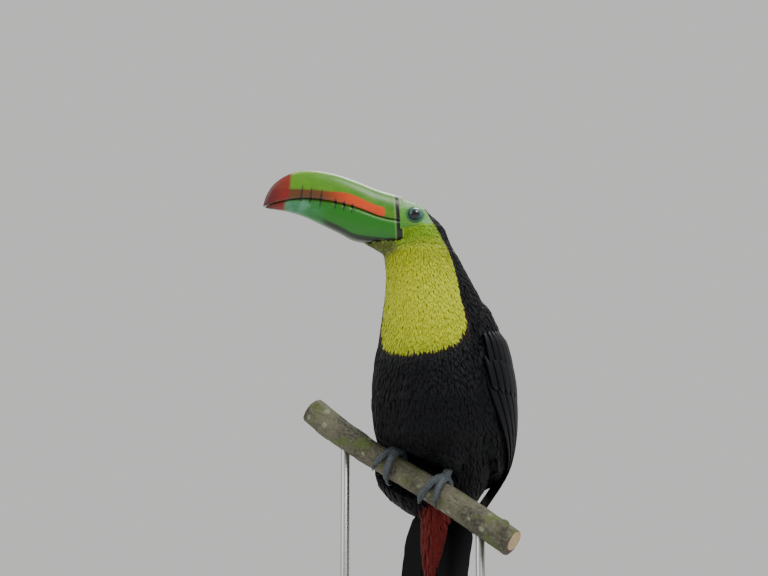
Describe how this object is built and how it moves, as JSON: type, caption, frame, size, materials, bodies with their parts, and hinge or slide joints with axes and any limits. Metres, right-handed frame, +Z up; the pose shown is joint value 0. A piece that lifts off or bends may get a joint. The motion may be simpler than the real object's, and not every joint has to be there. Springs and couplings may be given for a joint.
{
  "type": "perched toucan figure",
  "caption": "Life-size keel-billed toucan model, upright on a short sloping branch that rods hold over a flat base.",
  "frame": {"origin": "centre of the display base's underside, on the floor; the trunk's own upright axis passes through it", "axes": "+Z up, -Y the way the trunk faces, +X the bird's left; the head is turned 58 degrees to the bird's right"},
  "size_m": [0.2626, 0.1898, 0.526],
  "materials": {
    "bill": "smooth horn, softly glossy, green with orange and dark red markings",
    "eye": "wet and glossy, dark",
    "yellow_feathers": "soft short feathers",
    "face_feathers": "short feathers round bare green skin",
    "red_feathers": "soft feathers",
    "white_feathers": "soft feathers",
    "black_feathers": "smooth feathers with a faint sheen",
    "scaly_skin": "dry scales, blue grey",
    "claw": "smooth horn",
    "bark": "rough grey brown bark, pale at the cut ends",
    "base_wood": "dark varnish, satin",
    "rod_steel": "satin"
  },
  "bodies": {
    "root": {"head": "face_feathers", "neck": "yellow_feathers", "trunk": "black_feathers", "bill_upper": "bill", "bill_lower": "bill", "tail": "black_feathers", "undertail_coverts": "red_feathers", "uppertail_coverts": "white_feathers", "wing_left": "black_feathers", "wing_tip_left": "black_feathers", "eye_left": "eye", "shank_left": "scaly_skin", "toe_inner_front_left": "scaly_skin", "claw_inner_front_left": "claw", "toe_outer_front_left": "scaly_skin", "claw_outer_front_left": "claw", "toe_inner_back_left": "scaly_skin", "claw_inner_back_left": "claw", "toe_outer_back_left": "scaly_skin", "claw_outer_back_left": "claw", "wing_right": "black_feathers", "wing_tip_right": "black_feathers", "eye_right": "eye", "shank_right": "scaly_skin", "toe_inner_front_right": "scaly_skin", "claw_inner_front_right": "claw", "toe_outer_front_right": "scaly_skin", "claw_outer_front_right": "claw", "toe_inner_back_right": "scaly_skin", "claw_inner_back_right": "claw", "toe_outer_back_right": "scaly_skin", "claw_outer_back_right": "claw", "perch": "bark", "stand_base": "base_wood", "stand_rod_high": "rod_steel", "stand_collar_high": "rod_steel", "stand_rod_low": "rod_steel", "stand_collar_low": "rod_steel"}
  },
  "joints": []
}
